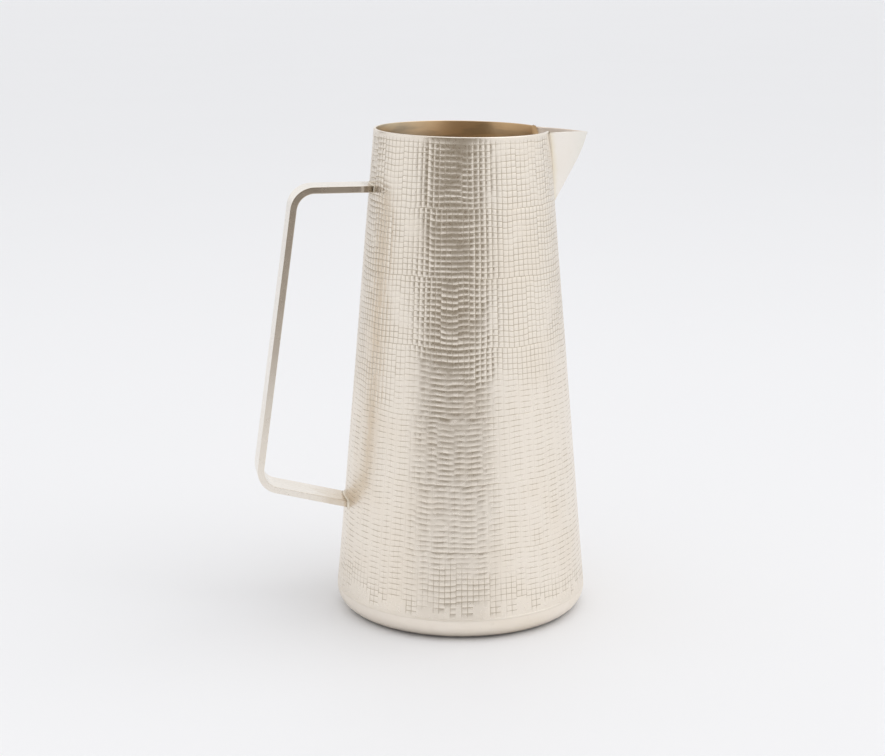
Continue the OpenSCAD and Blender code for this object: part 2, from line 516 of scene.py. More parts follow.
    # Squares in the upper half, broken level dashes in the lower half, squares again at the foot.
    cloud = n.vector(n.times(cosine, radius), n.times(sine, radius), height)
    ragged = n.plus(height, n.times(n.minus(n.noise(32.0, 2.0, cloud), 0.5), 90 * MM))
    top, bottom = given["Dashes Top"], given["Dashes Bottom"]
    lower_half = n.step(ragged, n.plus(top, 9 * MM), n.minus(top, 9 * MM))
    dashes = n.times(lower_half, n.step(ragged, n.minus(bottom, 5 * MM), n.plus(bottom, 5 * MM)))
    upright = n.times(on_upright, n.scaled(dashes, -0.60, 0.95))
    near_start = n.times(n.above(n.minus(blow, before), 0.5), n.below(inside_u, 0.4))
    near_end = n.times(n.above(n.minus(after, blow), 0.5), n.above(inside_u, 0.4))
    broken = n.times(dashes, n.times(n.scaled(on_upright, 0.3, 0.7),
                                     n.most(near_start, near_end)))
    struck = n.most(upright, n.times(on_level, n.minus(1.0, broken)))
    fade = n.step(n.noise(70.0, 3.0, cloud), 0.34, 0.50, 0.50, 1.0)
    force = draw(patch, 5.0, 0.70, 1.0)
    for share in (fade, force, clear_spout, clear_seam, clear_rim, near_foot):
        struck = n.times(struck, share)

    # Small unevenness: each shoulder sits a little high or low, and the sheet is faintly hollow.
    corner = n.scaled(band, 90001.0, n.scaled(down, 2991.0, across))
    loose = n.times(draw(corner, 7.0, -0.022 * MM, 0.012 * MM), n.times(clear_rim, clear_spout))
    reeds = n.noise(1.0, 2.0, n.vector(n.times(cosine, 9.0), n.times(sine, 9.0),
                                       n.times(height, 9.0)))
    swell = n.scaled(n.minus(n.noise(26.0, 2.0, cloud), 0.62), 0.30 * MM,
                     n.times(n.minus(reeds, 0.6), 0.30 * MM))
    swell = n.times(n.times(swell, calm), clear_spout)
    sunk = n.times(n.times(struck, n.scaled(lower_half, -0.48, 1.0)), given["Groove Depth"])
    radius = n.minus(n.plus(radius, n.plus(swell, loose)), sunk)

    spot = n.vector(n.times(cosine, radius), n.times(sine, radius), n.minus(height, fall))
    marked = n.add("GeometryNodeStoreNamedAttribute", grid, Name="groove",
                   sets={"data_type": "FLOAT", "domain": "POINT"})
    n.feed(marked.inputs["Value"], struck)
    shaped = n.add("GeometryNodeSetPosition", marked, Position=spot)
    real = n.add("GeometryNodeRealizeInstances", shaped)
    last = n.add("GeometryNodeSetMaterial", real, Material=material)
    tree.links.new(last.outputs[0], tree.nodes.new("NodeGroupOutput").inputs[0])
    return tree


def set_inputs(modifier, **values):
    """Sets a nodes modifier's inputs by their sockets' identifiers."""
    for item in modifier.node_group.interface.items_tree:
        key = item.name.replace(" ", "_").lower()
        if item.item_type == "SOCKET" and item.in_out == "INPUT" and key in values:
            modifier[item.identifier] = values[key]


def round_angle(vert):
    """Angle of a point round the axis, from the seam at -X."""
    return (math.atan2(vert.co.y, vert.co.x) - math.pi) % (2 * math.pi)


def sheet_ring(bm, z, inset, drop=0.0, count=192):
    """A ring of points on the wall's cone at height z, from one side of the seam to the other."""
    radius = wall_radius(z) - inset * math.hypot(1, TAPER)
    slot = HALF_SEAM / radius
    ring = []
    for k in range(count + 1):
        a = math.pi + slot + (2 * math.pi - 2 * slot) * k / count
        fall = form().rim_fall * 0.5 * (1 + math.cos(a)) * (z - FOOT_Z) / (RIM_HIGH - FOOT_Z)
        ring.append(bm.verts.new((radius * math.cos(a), radius * math.sin(a), z - fall - drop)))
    return ring


def spout_planes(inset):
    """The spout's two planes on the -Y side, moved in by inset, as (normal, distance) pairs."""
    tip, beak = Vector(form().tip), Vector(form().beak)
    half = form().spout_half
    edge = Vector((math.sqrt(wall_radius(SPOUT_EDGE_Z) ** 2 - half ** 2), -half, SPOUT_EDGE_Z))
    heel = Vector((wall_radius(SPOUT_LOW.z), 0, SPOUT_LOW.z))
    planes = []
    for a, b, c in ((tip, edge, beak), (beak, edge, heel)):
        normal = (b - a).cross(c - a).normalized()
        planes.append((normal, normal.dot(a) - inset))
    return planes, tip, beak, edge, heel


def meeting(p, q, s):
    """Point where three planes meet."""
    return (p[1] * q[0].cross(s[0]) + q[1] * s[0].cross(p[0]) + s[1] * p[0].cross(q[0])) / \
        p[0].dot(q[0].cross(s[0]))


def spout_opening(inset):
    """The solid that cuts the spout's opening into the wall."""
    (up, low), _, _, edge, _ = spout_planes(inset)

    def mirror(p):
        return Vector((p[0].x, -p[0].y, p[0].z)), p[1]

    top = (Vector((0, 0, 1)), RIM_HIGH + 12 * MM)
    back = (Vector((1, 0, 0)), edge.x - 12 * MM)
    points = [meeting(up, mirror(up), top), meeting(up, mirror(up), low),
              meeting(low, mirror(low), back), meeting(up, top, back), meeting(up, low, back),
              meeting(mirror(up), top, back), meeting(mirror(up), mirror(low), back)]

    def build(bm):
        verts = [bm.verts.new(p) for p in points]
        for face in ((0, 3, 5), (0, 1, 4, 3), (1, 2, 4), (0, 5, 6, 1), (1, 6, 2), (3, 4, 2, 6, 5)):
            bm.faces.new([verts[k] for k in face])
    return mesh_of("spout opening", build, smooth=False)


def chased_rows(bm, outside):
    """Rows of points down the chased face, band by band, zipped where their counts differ."""
    c = chasing()
    tree = chased_band_tree(outside)
    groove = bm.verts.layers.float.new("groove")
    top, low = RIM_HIGH - 0.5 * MM, FOOT_Z + 0.3 * MM
    deep = 3 * c.rows + 1
    rows = []
    for band in range(c.bands):
        start = top + (low - top) * band / c.bands
        end = top + (low - top) * (band + 1) / c.bands
        columns = round(2 * math.pi * wall_radius((start + end) / 2) / c.pitch)

        def chase(source):
            nodes = source.modifiers.new("chasing", "NODES")
            nodes.node_group = tree
            set_inputs(
                nodes, columns=columns, rows=c.rows, top=start, bottom=end, pitch=c.pitch,
                shift=(band * 0.618) % 1.0 - 0.5, blow_width=c.blow, groove_width=c.groove,
                groove_depth=c.depth, stagger=c.stagger, wander=c.wander,
                dashes_top=c.dashes_top, dashes_bottom=c.dashes_bottom, plain_edge=c.plain,
                plain_margin=c.margin, band=band, seed=c.seed)

        mesh = baked("band", bpy.data.meshes.new("band"), chase)
        struck = mesh.attributes["groove"].data
        verts = []
        for k, vert in enumerate(mesh.vertices):
            verts.append(bm.verts.new(vert.co))
            verts[-1][groove] = struck[k].value
        for face in mesh.polygons:
            bm.faces.new([verts[k] for k in face.vertices])
        lines = [verts[j::deep] for j in range(deep)]
        if lines[0][0].co.z < lines[-1][0].co.z:
            lines.reverse()
        if rows:
            zip_rows(bm, rows[-1], lines[0], round_angle)
        rows += lines
        bpy.data.meshes.remove(mesh)
    return rows


def line_wall(bm, rows):
    """Adds the rounded rim, the smooth inside and the foot, and closes both sides of the seam."""
    t = form().sheet
    # The rim's section in millimetres, inwards and down, for a sheet 1.2 mm thick.
    rim = ((0.0, 0.35), (0.09, 0.10), (0.32, 0.0), (0.88, 0.0), (1.11, 0.10), (1.2, 0.35))
    rings = [sheet_ring(bm, RIM_HIGH, inset * t / 1.2, drop * MM) for inset, drop in rim]
    for k in range(1, 11):
        rings.append(sheet_ring(bm, RIM_HIGH + (FOOT_Z - RIM_HIGH) * k / 10, t))
    rings.append(sheet_ring(bm, FOOT_Z, 0))
    zip_rows(bm, rows[0], rings[0], round_angle)
    for k, (a, b) in enumerate(zip(rings, rings[1:])):
        for m in range(len(a) - 1):
            face = bm.faces.new((a[m], a[m + 1], b[m + 1], b[m]))
            face.material_index = 1 if 4 <= k < 15 else 0
    zip_rows(bm, rings[-1], rows[-1], round_angle)
    for end in (0, -1):
        bm.faces.new([row[end] for row in rows] + [ring[end] for ring in reversed(rings)])
    bmesh.ops.recalc_face_normals(bm, faces=bm.faces)
    for face in bm.faces:
        face.smooth = len(face.verts) < 5


class PITCHER_OT_wall(bpy.types.Operator):
    """Build the conical wall with its chased grid, its smooth inside and the spout's opening"""
    bl_idname = "pitcher.wall"
    bl_label = "Chased Wall"

    def execute(self, context):
        outside, inside = chased_silver(), inner_silver()
        bm = bmesh.new()
        line_wall(bm, chased_rows(bm, outside))
        mesh = bpy.data.meshes.new("chased wall")
        bm.to_mesh(mesh)
        bm.free()
        mesh.materials.append(outside)
        mesh.materials.append(inside)
        opening = spout_opening(form().spout_sheet + form().lip)
        opening.materials.append(inside)
        cutter = bpy.data.objects.new("spout opening", opening)
        context.scene.collection.objects.link(cutter)

        def cut(source):
            boolean = source.modifiers.new("opening", "BOOLEAN")
            boolean.operation, boolean.solver, boolean.object = "DIFFERENCE", "MANIFOLD", cutter

        wall = baked("chased wall", mesh, cut)
        bpy.data.objects.remove(cutter)
        put("chased_wall", wall, "chased_silver", "body_wall")
        return {"FINISHED"}


# ---------------------------------------------------------------- base pan


class PITCHER_OT_base(bpy.types.Operator):
    """Turn the shallow base pan with its rounded edge"""
    bl_idname = "pitcher.base"
    bl_label = "Base Pan"

    def execute(self, context):
        f = form()
        lean = math.atan(TAPER)
        centre_r, centre_z = BASE_R - f.base_round, f.base_round

        def half_section(inset):
            """Points of the section from the joint round to the axis."""
            reach = f.base_round - inset
            points = [(wall_radius(JOINT_Z) - inset / math.cos(lean), JOINT_Z)]
            for k in range(17):
                a = lean + (-math.pi / 2 - lean) * k / 16
                points.append((centre_r + reach * math.cos(a), centre_z + reach * math.sin(a)))
            for k in range(1, 7):
                points.append((centre_r * (1 - k / 6.5), inset))
            return points

        outer = half_section(0.0)
        inner = half_section(f.sheet)
        edge = 0.04 * MM
        (ro, zo), (ri, zi) = outer[0], inner[0]
        outline = [(ri + edge, zi)] + [(ro - edge, zo), (ro, zo - edge)] + outer[1:]
        underside = len(outline)
        outline += list(reversed(inner[1:])) + [(ri, zi - edge)]
        count = 224

        def build(bm):
            rings = []
            for r, z in outline:
                rings.append([bm.verts.new((r * math.cos(a), r * math.sin(a), z)) for a in
                              (2 * math.pi * k / count for k in range(count))])
            for k in range(len(rings)):
                a, b = rings[k], rings[(k + 1) % len(rings)]
                if k == underside - 1:
                    for ring, z in ((a, 0.0), (b, f.sheet)):
                        hub = bm.verts.new((0, 0, z))
                        for m in range(count):
                            bm.faces.new((ring[m], ring[(m + 1) % count], hub))
                    continue
                for m in range(count):
                    bm.faces.new((a[m], a[(m + 1) % count], b[(m + 1) % count], b[m]))
        put("base_pan_turned", mesh_of("base pan", build), "satin_silver", "base_pan",
            base_silver())
        return {"FINISHED"}


# ---------------------------------------------------------------- spout


def spout_line(t):
    """Point on the keel: 0 at the heel on the wall, 1 at the tip. The beak is softly bent."""
    _, tip, beak, _, heel = spout_planes(0)
    bend = 0.80
    reach = 0.16
    if t <= bend - reach:
        return heel.lerp(beak, t / bend)
    a = heel.lerp(beak, (bend - reach) / bend)
    b = beak.lerp(tip, min(1.0, reach / (1 - bend)))
    if t >= bend + reach:
        return beak.lerp(tip, (t - bend) / (1 - bend))
    s = (t - bend + reach) / (2 * reach)
    return a * (1 - s) ** 2 + beak * 2 * s * (1 - s) + b * s ** 2


def spout_foot(t):
    """Point where the spout's -Y side meets the wall, for the same t as the keel."""
    planes, _, _, edge, _ = spout_planes(0)
    normal, distance = planes[1]
    turn = math.atan2(edge.y, edge.x) * min(1.0, t / 0.80)
    q = normal.x * math.cos(turn) + normal.y * math.sin(turn)
    full = RIM_HIGH_R + RIM_HIGH * TAPER
    z = (distance - full * q) / (normal.z - TAPER * q)
    r = wall_radius(z)
    return Vector((r * math.cos(turn), r * math.sin(turn), z))


def spout_row(t):
    """Points across the spout's outer face at t, from the -Y wall over the keel to the +Y wall."""
    keel, foot = spout_line(t), spout_foot(t)
    side = foot - keel
    length = side.length
    soft = min(1.5 * MM, 0.42 * length)
    keel = keel + (keel - Vector((foot.x, 0, foot.z))).normalized() * soft * 0.35
    late = max(0.0, min(1.0, (t - 0.8) / 0.2))
    lift = late * late * (3 - 2 * late) * MM
    half = []
    for k in range(11):
        s = k / 10
        bow = 0.35 * MM * math.sin(math.pi * s) * min(1.0, length / (15 * MM))
        out = Vector((0.35, -0.9, -0.2)).normalized() * bow
        rise = Vector((0, 0, -0.35 + 0.75 * s + 0.35 * math.sin(math.pi * s))) * lift
        half.append(foot.lerp(keel, s * (1 - soft / length)) + out + rise)
    keel = keel + Vector((0, 0, 0.4)) * lift
    near = half[-1]
    far = Vector((near.x, -near.y, near.z))
    nose = [near * (1 - s) ** 2 + keel * 2 * s * (1 - s) + far * s ** 2
            for s in (k / 8 for k in range(1, 8))]
    other = [Vector((p.x, -p.y, p.z)) for p in reversed(half)]
    return half + nose + other


class PITCHER_OT_spout(bpy.types.Operator):
    """Fold the spout from sheet, with a soft keel, rounded edges and its foot fitted to the wall"""
    bl_idname = "pitcher.spout"
    bl_label = "Spout"

    def execute(self, context):
        f = form()
        steps = 34
        stops = [0.012 + (1 - 0.012) * k / steps for k in range(steps + 1)]
        outer = [spout_row(t) for t in stops]
        count = len(outer[0])

        def normal_at(k, m):
            a = outer[min(k + 1, steps)][m] - outer[max(k - 1, 0)][m]
            b = outer[k][min(m + 1, count - 1)] - outer[k][max(m - 1, 0)]
            n = a.cross(b)
            if n.length < 1e-12:
                n = Vector((1, 0, -0.4))
            n.normalize()
            return n if n.dot(Vector((1, 0, -0.5))) > 0 else -n

        normals = [[normal_at(k, m) for m in range(count)] for k in range(steps + 1)]

        def clear(p):
            """Keeps a point off the wall's cone."""
            need = wall_radius(p.z) + 0.02 * MM
            have = p.xy.length
            if have < need:
                p = Vector((p.x * need / have, p.y * need / have, p.z))
            return p

        def moved(k, m, inset, drop=0.0):
            return clear(outer[k][m] - normals[k][m] * inset + Vector((0, 0, -drop)))

        sheet = f.spout_sheet
        rings = [[moved(k, m, 0.0) for m in range(count)] for k in range(steps)]
        for inset, drop in ((0.0, 0.22), (0.06, 0.07), (0.25, 0.0), (0.75, 0.0), (0.94, 0.07),
                            (1.0, 0.22)):
            rings.append([moved(steps, m, inset * sheet, drop * MM) for m in range(count)])
        rings += [[moved(k, m, sheet) for m in range(count)] for k in reversed(range(steps))]

        def build(bm):
            rows = [[bm.verts.new(p) for p in ring] for ring in rings]
            for k, (a, b) in enumerate(zip(rows, rows[1:])):
                for m in range(count - 1):
                    face = bm.faces.new((a[m], a[m + 1], b[m + 1], b[m]))
                    face.material_index = 1 if k > steps + 3 else 0
            # The two edges against the wall, and the heel.
            total = len(rows)
            for k in range(total // 2):
                a, b = k, total - 1 - k
                if b - a < 2:
                    continue
                for m in (0, count - 1):
                    quad = (rows[a][m], rows[a + 1][m], rows[b - 1][m], rows[b][m])
                    if len(set(quad)) == 4:
                        bm.faces.new(quad)
                    elif len(set(quad)) == 3:
                        bm.faces.new((rows[a][m], rows[a + 1][m], rows[b][m]))
            for m in range(count - 1):
                bm.faces.new((rows[0][m], rows[0][m + 1], rows[-1][m + 1], rows[-1][m]))
        put("folded_spout", mesh_of("folded spout", build), "satin_silver", "spout",
            spout_silver(), inner_spout_silver())
        return {"FINISHED"}


# ---------------------------------------------------------------- handle


def strap_path():
    """Centre line of the strap as (point, direction) pairs, from its upper to its lower end.

    With it go the directions of both arms and the point where the lower arm starts.
    """
    f = form()
    top_z = STRAP_HIGH.z - f.strap / 2
    top = Vector((-f.top_reach, 0, top_z))
    low = Vector((-f.low_reach, 0, f.low_height))
    bar = (low - top).normalized()
    out = Vector((-1, 0, 0))
    arm = Vector((math.cos(f.low_fall), 0, -math.sin(f.low_fall)))
    path = []

    def corner(at, before, after, radius):
        """Points round a bend that leaves the line before and joins the line after."""
        turn = before.angle(after)
        back = radius * math.tan(turn / 2)
        start, end = at - before * back, at + after * back
        centre = start + (after - before * after.dot(before)).normalized() * radius
        spoke = start - centre
        axis = before.cross(after).normalized()
        bend = []
        for k in range(19):
            spin = Matrix.Rotation(turn * k / 18, 3, axis)
            bend.append((centre + spin @ spoke, spin @ before))
        return start, end, bend

    top_start, top_end, top_bend = corner(top, out, bar, f.top_bend)
    low_start, low_end, low_bend = corner(low, bar, arm, f.low_bend)
    first = Vector((-(wall_radius(top_z) + 2 * MM), 0, top_z))
    for k in range(6):
        path.append((first.lerp(top_start, k / 6), out))
    path += top_bend
    for k in range(1, 26):
        path.append((top_end.lerp(low_start, k / 26), bar))
    path += low_bend
    for k in range(1, 9):
        path.append((low_end + arm * 4.2 * MM * k, arm))
    return path, out, arm, low_end


def reach_wall(point, direction, gap):
    """Where a line from point along direction comes within gap of the wall's cone."""
    low, high = 0.0, 80 * MM
    for _ in range(40):
        mid = (low + high) / 2
        p = point + direction * mid
        if p.xy.length > wall_radius(p.z) + gap * math.hypot(1, TAPER):
            low = mid
        else:
            high = mid
    return point + direction * low


def strap_outline(grow=0.0):
    """The strap's rounded section as (across, out) pairs, grown on all sides by grow."""
    f = form()
    width = STRAP_HIGH.y + grow
    thick = f.strap / 2 + grow
    r = f.strap_edge + grow
    near = 0.2 * MM  # a line this close to each rounding keeps the flat sides flat in the light
    points = []
    for sx, sy, a0 in ((1, 1, 0), (-1, 1, 90), (-1, -1, 180), (1, -1, 270)):
        for k in range(5):
            a = math.radians(a0 + 90 * k / 4)
            points.append((sx * (width - r) + r * math.cos(a), sy * (thick - r) + r * math.sin(a)))
        if sx * sy > 0:
            run = width - r - near
            for k in range(7):
                points.append((sx * run * (1 - 2 * k / 6), sy * thick))
        else:
            run = thick - r - near
            for k in (1, -1):
                points.append((sx * width, sy * run * k))
    return points


def strap_frame(direction):
    """The strap's outward direction for a direction along it, away from the hand side."""
    return Vector((0, 1, 0)).cross(direction).normalized() * -1


class PITCHER_OT_handle(bpy.types.Operator):
    """Bend the strap handle, with rounded edges and both ends fitted to the wall"""
    bl_idname = "pitcher.handle"
    bl_label = "Handle"

    def execute(self, context):
        path, out, arm, _ = strap_path()
        outline = strap_outline()

        def ring(point, direction, fit=None):
            away = strap_frame(direction)
            points = [point + Vector((0, 1, 0)) * a + away * b for a, b in outline]
            if fit is not None:
                points = [reach_wall(p, fit, 0.3 * MM) for p in points]
            return points

        rings = [ring(path[0][0], path[0][1], fit=-out)]
        rings += [ring(p, d) for p, d in path[1:]]
        last = rings[-1]
        far = [reach_wall(p, arm, 0.3 * MM) for p in last]
        keep = [k for k, r in enumerate(rings) if k < len(rings) - 8 or all(
            (q - p).dot(arm) > 1.5 * MM for p, q in zip(r, far))]
        rings = [rings[k] for k in keep] + [far]

        def build(bm):
            sweep(bm, rings, closed=False)
        put("strap_handle", mesh_of("strap handle", build), "satin_silver", "handle",
            strap_silver())
        return {"FINISHED"}


# ---------------------------------------------------------------- solder


def uneven(seed, x, amount):
    """A slow, fixed unevenness round 1 for a place x round or along a joint."""
    return 1 + amount * (0.6 * math.sin(3.1 * x + seed) + 0.4 * math.sin(7.7 * x + 2.3 * seed))


def strap_fillet(name, node, start, direction, seed, share):
    """A hollow fillet of solder round one end of the strap."""
    reach = form().fillet * share
    away = strap_frame(direction)
    flat = strap_outline()

    def ring(grow, back):
        points = []
        for k in range(len(flat)):
            turn = 2 * math.pi * k / len(flat)
            g = grow * uneven(seed, turn, 0.22)
            a2, b2 = strap_outline(max(g, 0.02 * MM))[k]
            at = start + Vector((0, 1, 0)) * a2 + away * b2
            at = reach_wall(at, direction, 0.01 * MM)
            points.append(at - direction * back * uneven(seed + 1, turn, 0.18))
        return points

    rings = []
    for k in range(7):
        a = math.pi / 2 * k / 6
        rings.append(ring(reach * (1 - math.sin(a)), reach * 0.95 * (1 - math.cos(a))))
    end = []
    for a, b in flat:
        at = start + Vector((0, 1, 0)) * a + away * b
        end.append(reach_wall(at, direction, 0.3 * MM))
    rings.append(end)

    def build(bm):
        sweep(bm, rings, closed=False)
    put(name, mesh_of(name, build), "silver_solder", node, run_solder())


class PITCHER_OT_solder(bpy.types.Operator):
    """Run the solder: fillets round the strap's ends, a bead round the spout, and both seams"""
    bl_idname = "pitcher.solder"
    bl_label = "Solder"

    def execute(self, context):
        path, out, arm, low_end = strap_path()
        start = path[3][0]
        strap_fillet("upper_strap_fillet", "handle_upper_solder", start, -out, 1.3, 0.4)
        strap_fillet("lower_strap_fillet", "handle_lower_solder", low_end + arm * 8 * MM, arm,
                     4.1, 1.0)

        # A thin bead in the corner between the spout and the wall.
        size = 0.55 * MM

        def corner_ring(t, flip):
            foot = spout_foot(t)
            row = spout_row(t)
            into = (row[2] - row[0]).normalized()
            step = spout_foot(min(t + 0.02, 0.8)) - spout_foot(max(t - 0.02, 0.0))
            along = step.normalized()
            out_wall = Vector((foot.x, foot.y, foot.xy.length * TAPER)).normalized()
            on_wall = out_wall.cross(along).normalized()
            if on_wall.y > 0:
                on_wall = -on_wall
            s = size * uneven(2.0, 9 * t, 0.2)
            a = foot + on_wall * s
            radial = wall_radius(a.z) / a.xy.length
            a = Vector((a.x * radial, a.y * radial, a.z))
            b = foot + into * s
            middle = (a + b + foot) / 3
            ring = [foot - out_wall * 0.01 * MM, a, a.lerp(middle, 0.55), middle,
                    b.lerp(middle, 0.55), b]
            return [Vector((p.x, -p.y, p.z)) for p in ring] if flip else ring

        stops = [0.02 + 0.775 * k / 36 for k in range(37)]
        rings = [corner_ring(t, False) for t in reversed(stops)]
        rings += [corner_ring(t, True) for t in stops]

        def build(bm):
            sweep(bm, rings, closed=False)
        put("spout_bead", mesh_of("spout bead", build), "silver_solder", "spout_solder",
            dressed_seam())

        # The base seam, dressed flush outside and left as a small fillet inside.
        low, high, t = JOINT_Z, FOOT_Z, form().sheet * math.hypot(1, TAPER)
        gap = high - low
        section = [(0.0, low - 0.3 * MM), (0.012 * MM, low - 0.1 * MM),
                   (0.012 * MM, high + 0.1 * MM), (0.0, high + 0.3 * MM),
                   (-0.1 * MM, high), (-t + 0.02 * MM, high), (-t, high + gap),
                   (-t - 0.35 * MM, high + 0.3 * gap), (-t - 0.6 * MM, high - 0.2 * gap),
                   (-t - 0.55 * MM, low), (-t - 0.3 * MM, low - 0.3 * gap), (-t, low - gap / 2),
                   (-t + 0.02 * MM, low), (-0.1 * MM, low)]
        count = 224
        rings = [[((wall_radius(z) + o) * math.cos(a), (wall_radius(z) + o) * math.sin(a), z)
                  for o, z in section] for a in (2 * math.pi * k / count for k in range(count))]

        def ring(bm):
            sweep(bm, rings)
        put("base_seam", mesh_of("base seam", ring), "silver_solder", "base_solder",
            dressed_seam())

        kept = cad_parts["wall_seam_solder"]
        kept.data.materials.clear()
        kept.data.materials.append(dressed_seam())
        return {"FINISHED"}


# ---------------------------------------------------------------- metal


WHITE = (1, 1, 1, 1)


def metal(paint):
    """Turns a function that paints a metal into one that gives its material, made only once.

    The function gets the nodes and the object coordinates, and returns colour, roughness, normal.
    """
    name = paint.__name__.replace("_", " ")

    def material():
        made = bpy.data.materials.get(name)
        if made is None:
            made = bpy.data.materials.new(name)
            made.use_nodes = True
            n = Nodes(made.node_tree)
            shader = made.node_tree.nodes["Principled BSDF"]
            shader.inputs["Metallic"].default_value = 1.0
            place = n.add("ShaderNodeTexCoord").outputs["Object"]
            for socket, value in zip(("Base Color", "Roughness", "Normal"), paint(n, place)):
                n.feed(shader.inputs[socket], value)
        return made

    return material


def shaded(colour, share):
    """A plain colour multiplied by another."""
    return [v * w for v, w in zip(colour, share)]


def stretched(n, place, turn, scale):
    """Object coordinates turned and stretched, for streaks that run one way."""
    return n.add("ShaderNodeMapping", place, Rotation=turn, Scale=scale).outputs[0]


def plain_silver(n, place, turn, streak, tint=WHITE, rough=(0.26, 0.36), stain=0.18):
    """Plain satin silver with fine polishing streaks, faint clouds and small dents."""
    cloud = n.noise(45.0, 4.0, place)
    streaks = n.noise(1.0, 5.0, stretched(n, place, turn, streak), 0.6)
    scuffs = n.step(n.noise(260.0, 5.0, place, 0.7), 0.58, 0.74)
    clean = shaded(finish().silver, tint)
    colour = n.blend(n.step(cloud, 0.35, 0.75, 0.0, stain), clean,
                     shaded(clean, (0.82, 0.74, 0.60, 1)))
    colour = n.blend(n.times(scuffs, 0.20), colour, finish().groove)
    rough = n.plus(n.step(streaks, 0.3, 0.7, *rough), n.times(scuffs, 0.08))
    dents = n.bump(n.noise(60.0, 2.0, place), 0.30, 0.5 * MM)
    return colour, rough, n.bump(n.scaled(scuffs, -0.4, streaks), 0.28, 0.04 * MM, dents)


@metal
def chased_silver(n, place):
    """Satin silver whose struck grooves hold a little tarnish."""
    struck = n.add("ShaderNodeAttribute", sets={"attribute_name": "groove"}).outputs["Fac"]
    cloud = n.noise(38.0, 4.0, place)
    grain = n.noise(900.0, 3.0, place)
    specks = n.step(n.noise(420.0, 4.0, place, 0.7), 0.60, 0.75)
    dark = n.times(n.step(struck, 0.05, 0.62), n.step(cloud, 0.25, 0.6, 0.75, 1.0))
    colour = n.blend(n.step(cloud, 0.4, 0.75, 0.0, 0.22), finish().silver,
                     shaded(finish().silver, (0.92, 0.86, 0.78, 1)))
    colour = n.blend(dark, colour, finish().groove)
    colour = n.blend(n.times(specks, 0.25), colour, finish().groove)
    rough = n.plus(n.step(grain, 0.3, 0.7, 0.27, 0.33), n.times(dark, 0.25))
    return colour, rough, n.bump(n.plus(grain, n.times(specks, -0.4)), 0.16, 0.04 * MM)


@metal
def base_silver(n, place):
    """The base pan's silver: turned streaks, and a dark brown ring at the edge where it stands on the
    floor.
    """
    colour, rough, normal = plain_silver(
        n, place, (0, 0, 0), (60, 60, 1400), tint=(1.05, 1.06, 1.08, 1), rough=(0.30, 0.38))
    x, y, z = n.parts(place)
    stands = BASE_R - form().base_round
    # A dark brown ring with a ragged upper edge, painted where the base meets the floor.
    standing_ring = n.step(n.scaled(n.noise(140.0, 3.0, place), -2.2 * MM, z), 1.2 * MM, -0.5 * MM)
    standing_ring = n.times(standing_ring, n.step(n.length(x, y), stands - 4 * MM, stands - 1 * MM))
    return n.blend(n.times(standing_ring, 0.75), colour, (0.16, 0.11, 0.07, 1)), rough, normal


@metal
def inner_silver(n, place):
    """The inside: golden, darkened as painted shade within the vessel, greyer towards the handle,
    with streaks left by washing.
    """
    colour, rough, normal = plain_silver(
        n, place, (0.5, 0.3, 0.2), (40, 160, 35), rough=(0.30, 0.42), stain=0.5)
    runs = n.noise(1.0, 3.0, stretched(n, place, (0.6, 0.5, 0.0), (26, 26, 150)), 0.6)
    handle_side = n.step(n.parts(place)[0], 2 * MM, -34 * MM)
    # Painted shade: the inside's golden tone is darkened for the shade within the vessel.
    tone = n.blend(handle_side, finish().inside, (0.60, 0.50, 0.34, 1))
    streaked = n.blend(n.step(runs, 0.42, 0.60), WHITE, (0.76, 0.78, 0.82, 1))
    return n.blend(0.93, colour, n.tinted(tone, streaked)), rough, normal


@metal
def inner_spout_silver(n, place):
    """The spout's inside: plain silver, dark brown near the wall's opening as painted shade and
    painted reflection of the golden inside, and pale further out as painted light.
    """
    colour, rough, normal = plain_silver(
        n, place, (0, 0.35, 0), (500, 60, 60), rough=(0.30, 0.40), stain=0.3)
    # Painted shade and reflection: dark brown up to the wall, pale painted light further out.
    reach = n.step(n.parts(place)[0], 39 * MM, 43.5 * MM)
    pale = n.blend(0.6, colour, (0.86, 0.74, 0.66, 1))
    return n.blend(reach, (0.40, 0.28, 0.16, 1), pale), rough, normal


@metal
def spout_silver(n, place):
    """The spout's silver, a little greener at the tip and yellowed along its lower seam."""
    colour, rough, normal = plain_silver(
        n, place, (0, 0.35, 0), (700, 60, 60), tint=(1.02, 1.05, 1.10, 1), rough=(0.28, 0.36),
        stain=0.10)
    x, y, z = n.parts(place)
    reach = n.step(x, 50 * MM, SPOUT_HIGH.x)
    colour = n.blend(n.times(reach, 0.5), colour, (0.80, 0.80, 0.74, 1))
    off_wall = n.minus(n.length(x, y), n.scaled(z, -TAPER, wall_radius(0)))
    edge = n.scaled(n.noise(220.0, 3.0, place), 2.0 * MM, off_wall)
    colour = n.blend(n.step(edge, 4.2 * MM, 1.0 * MM, 0.0, 0.45), colour, (0.78, 0.68, 0.46, 1))
    return colour, rough, normal


